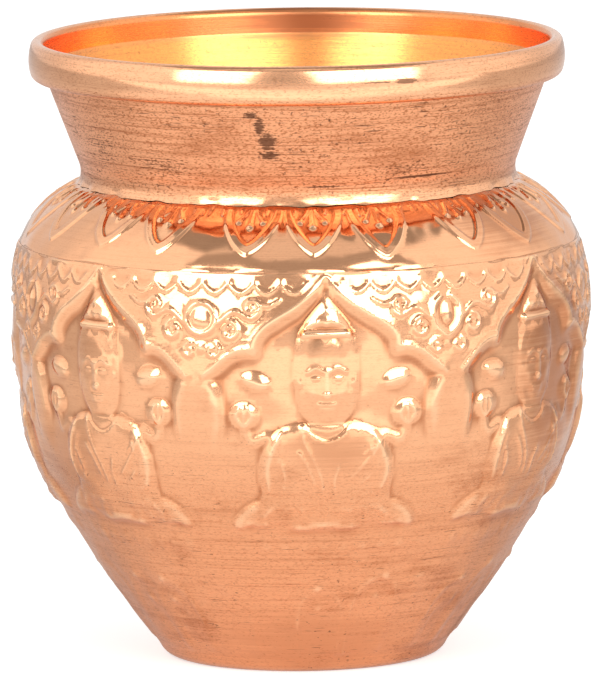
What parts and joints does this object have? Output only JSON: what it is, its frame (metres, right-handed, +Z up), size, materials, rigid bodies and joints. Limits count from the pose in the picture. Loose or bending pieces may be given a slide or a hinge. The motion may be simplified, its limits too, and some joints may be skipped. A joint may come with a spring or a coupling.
{
  "type": "kalash pot",
  "caption": "Embossed copper kalash pot: round belly with arched figure panels, petal shoulder, short flared neck and rolled rim, open at the top to hold water.",
  "frame": {"origin": "middle of the foot, on the surface that the pot stands on", "axes": "+Z up along the pot's axis, -Y towards the viewer of the picture"},
  "size_m": [0.114, 0.1141, 0.122],
  "materials": {
    "embossed_copper": "embossed copper, bright on the raised frieze and matte below it",
    "petal_copper": "embossed copper, polished",
    "brushed_copper": "copper brushed round the neck, polished on the rim",
    "plate_copper": "dull copper plate",
    "wire_copper": "dull copper wire",
    "brass_filler": "brazed brass"
  },
  "bodies": {
    "root": {"body_shell": "embossed_copper", "shoulder_cap": "petal_copper", "neck_collar": "brushed_copper", "base_disc": "plate_copper", "rim_wire": "wire_copper", "base_braze": "brass_filler", "shoulder_braze": "brass_filler", "neck_braze": "brass_filler"}
  },
  "joints": []
}
